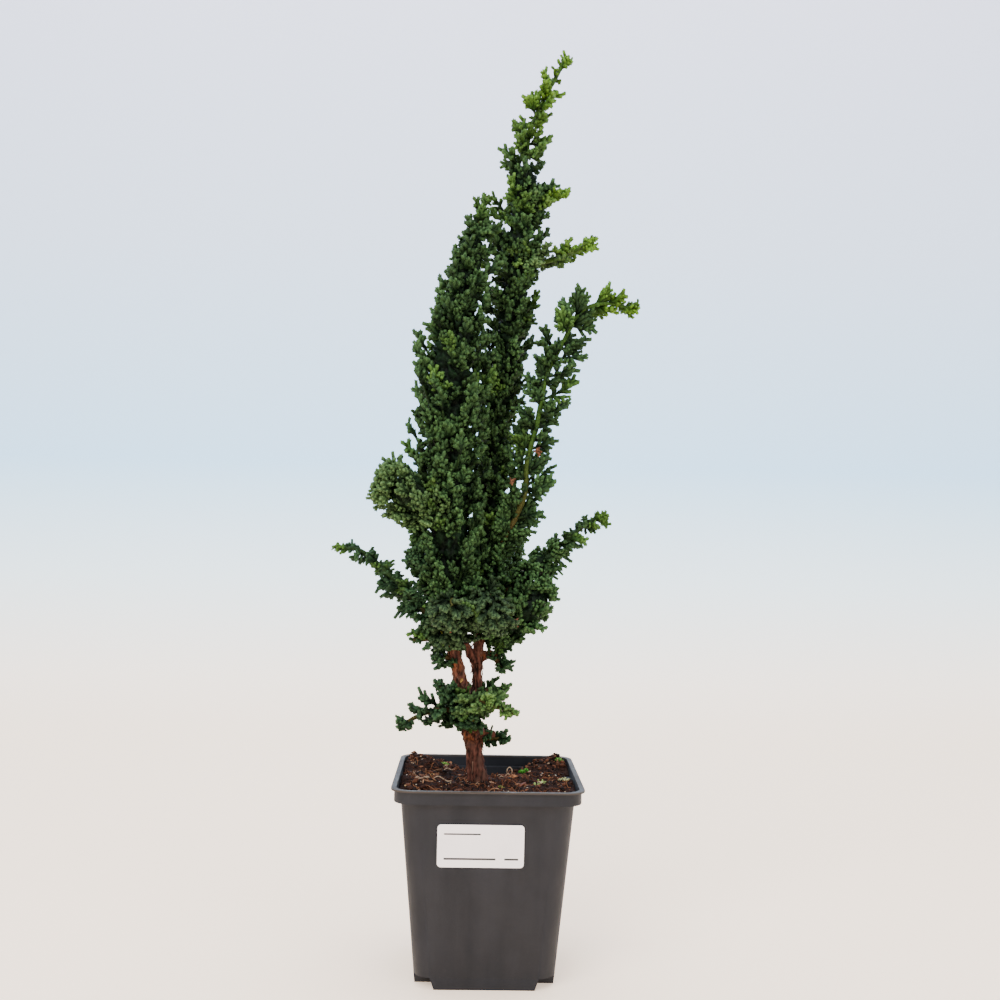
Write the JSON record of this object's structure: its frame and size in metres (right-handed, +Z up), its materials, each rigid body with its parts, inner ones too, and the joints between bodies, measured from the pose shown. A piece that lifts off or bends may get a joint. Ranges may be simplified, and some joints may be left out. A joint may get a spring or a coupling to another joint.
{
  "type": "potted bonsai tree",
  "caption": "Upright potted bonsai conifer: bare forked trunk, dense knobbly leafy shoots, and a tapered square plastic nursery pot filled with soil, that stands on a flat foot.",
  "frame": {"origin": "centre of the pot's foot, on the surface that it stands on", "axes": "+Z up along the trunk, the pot's labelled front faces -Y, +X to the right as seen from the front"},
  "size_m": [0.1497, 0.0929, 0.4604],
  "materials": {
    "pot_plastic": "satin black moulded plastic",
    "label_paper": "matt white sticker",
    "soil": "dark moist peat",
    "bark": "fibrous red-brown bark",
    "leaf_dark": "matt scale leaves",
    "leaf_mid": "matt scale leaves",
    "leaf_bright": "matt scale leaves",
    "leaf_grey": "matt scale leaves"
  },
  "bodies": {
    "root": {"pot": "pot_plastic", "label": "label_paper", "soil": "soil", "wood": "bark", "left_leader": "leaf_mid", "right_leader": "leaf_mid", "green_shoot": "leaf_mid", "left_lobe": "leaf_bright", "left_tuft": "leaf_dark", "left_arch": "leaf_dark", "right_arch": "leaf_mid", "skirt_right": "leaf_mid", "skirt_front_left": "leaf_grey", "skirt_front_right": "leaf_grey", "skirt_back_left": "leaf_dark", "skirt_back_right": "leaf_mid", "crown_right_low": "leaf_bright", "crown_right_high": "leaf_bright", "spray_left": "leaf_dark", "tuft_left": "leaf_dark", "tuft_right_high": "leaf_dark", "tuft_right_low": "leaf_dark", "low_left": "leaf_dark", "low_left_high": "leaf_dark", "low_front": "leaf_bright", "low_front_under": "leaf_dark", "low_right": "leaf_mid", "low_right_tuft": "leaf_dark", "low_back": "leaf_dark"}
  },
  "joints": []
}
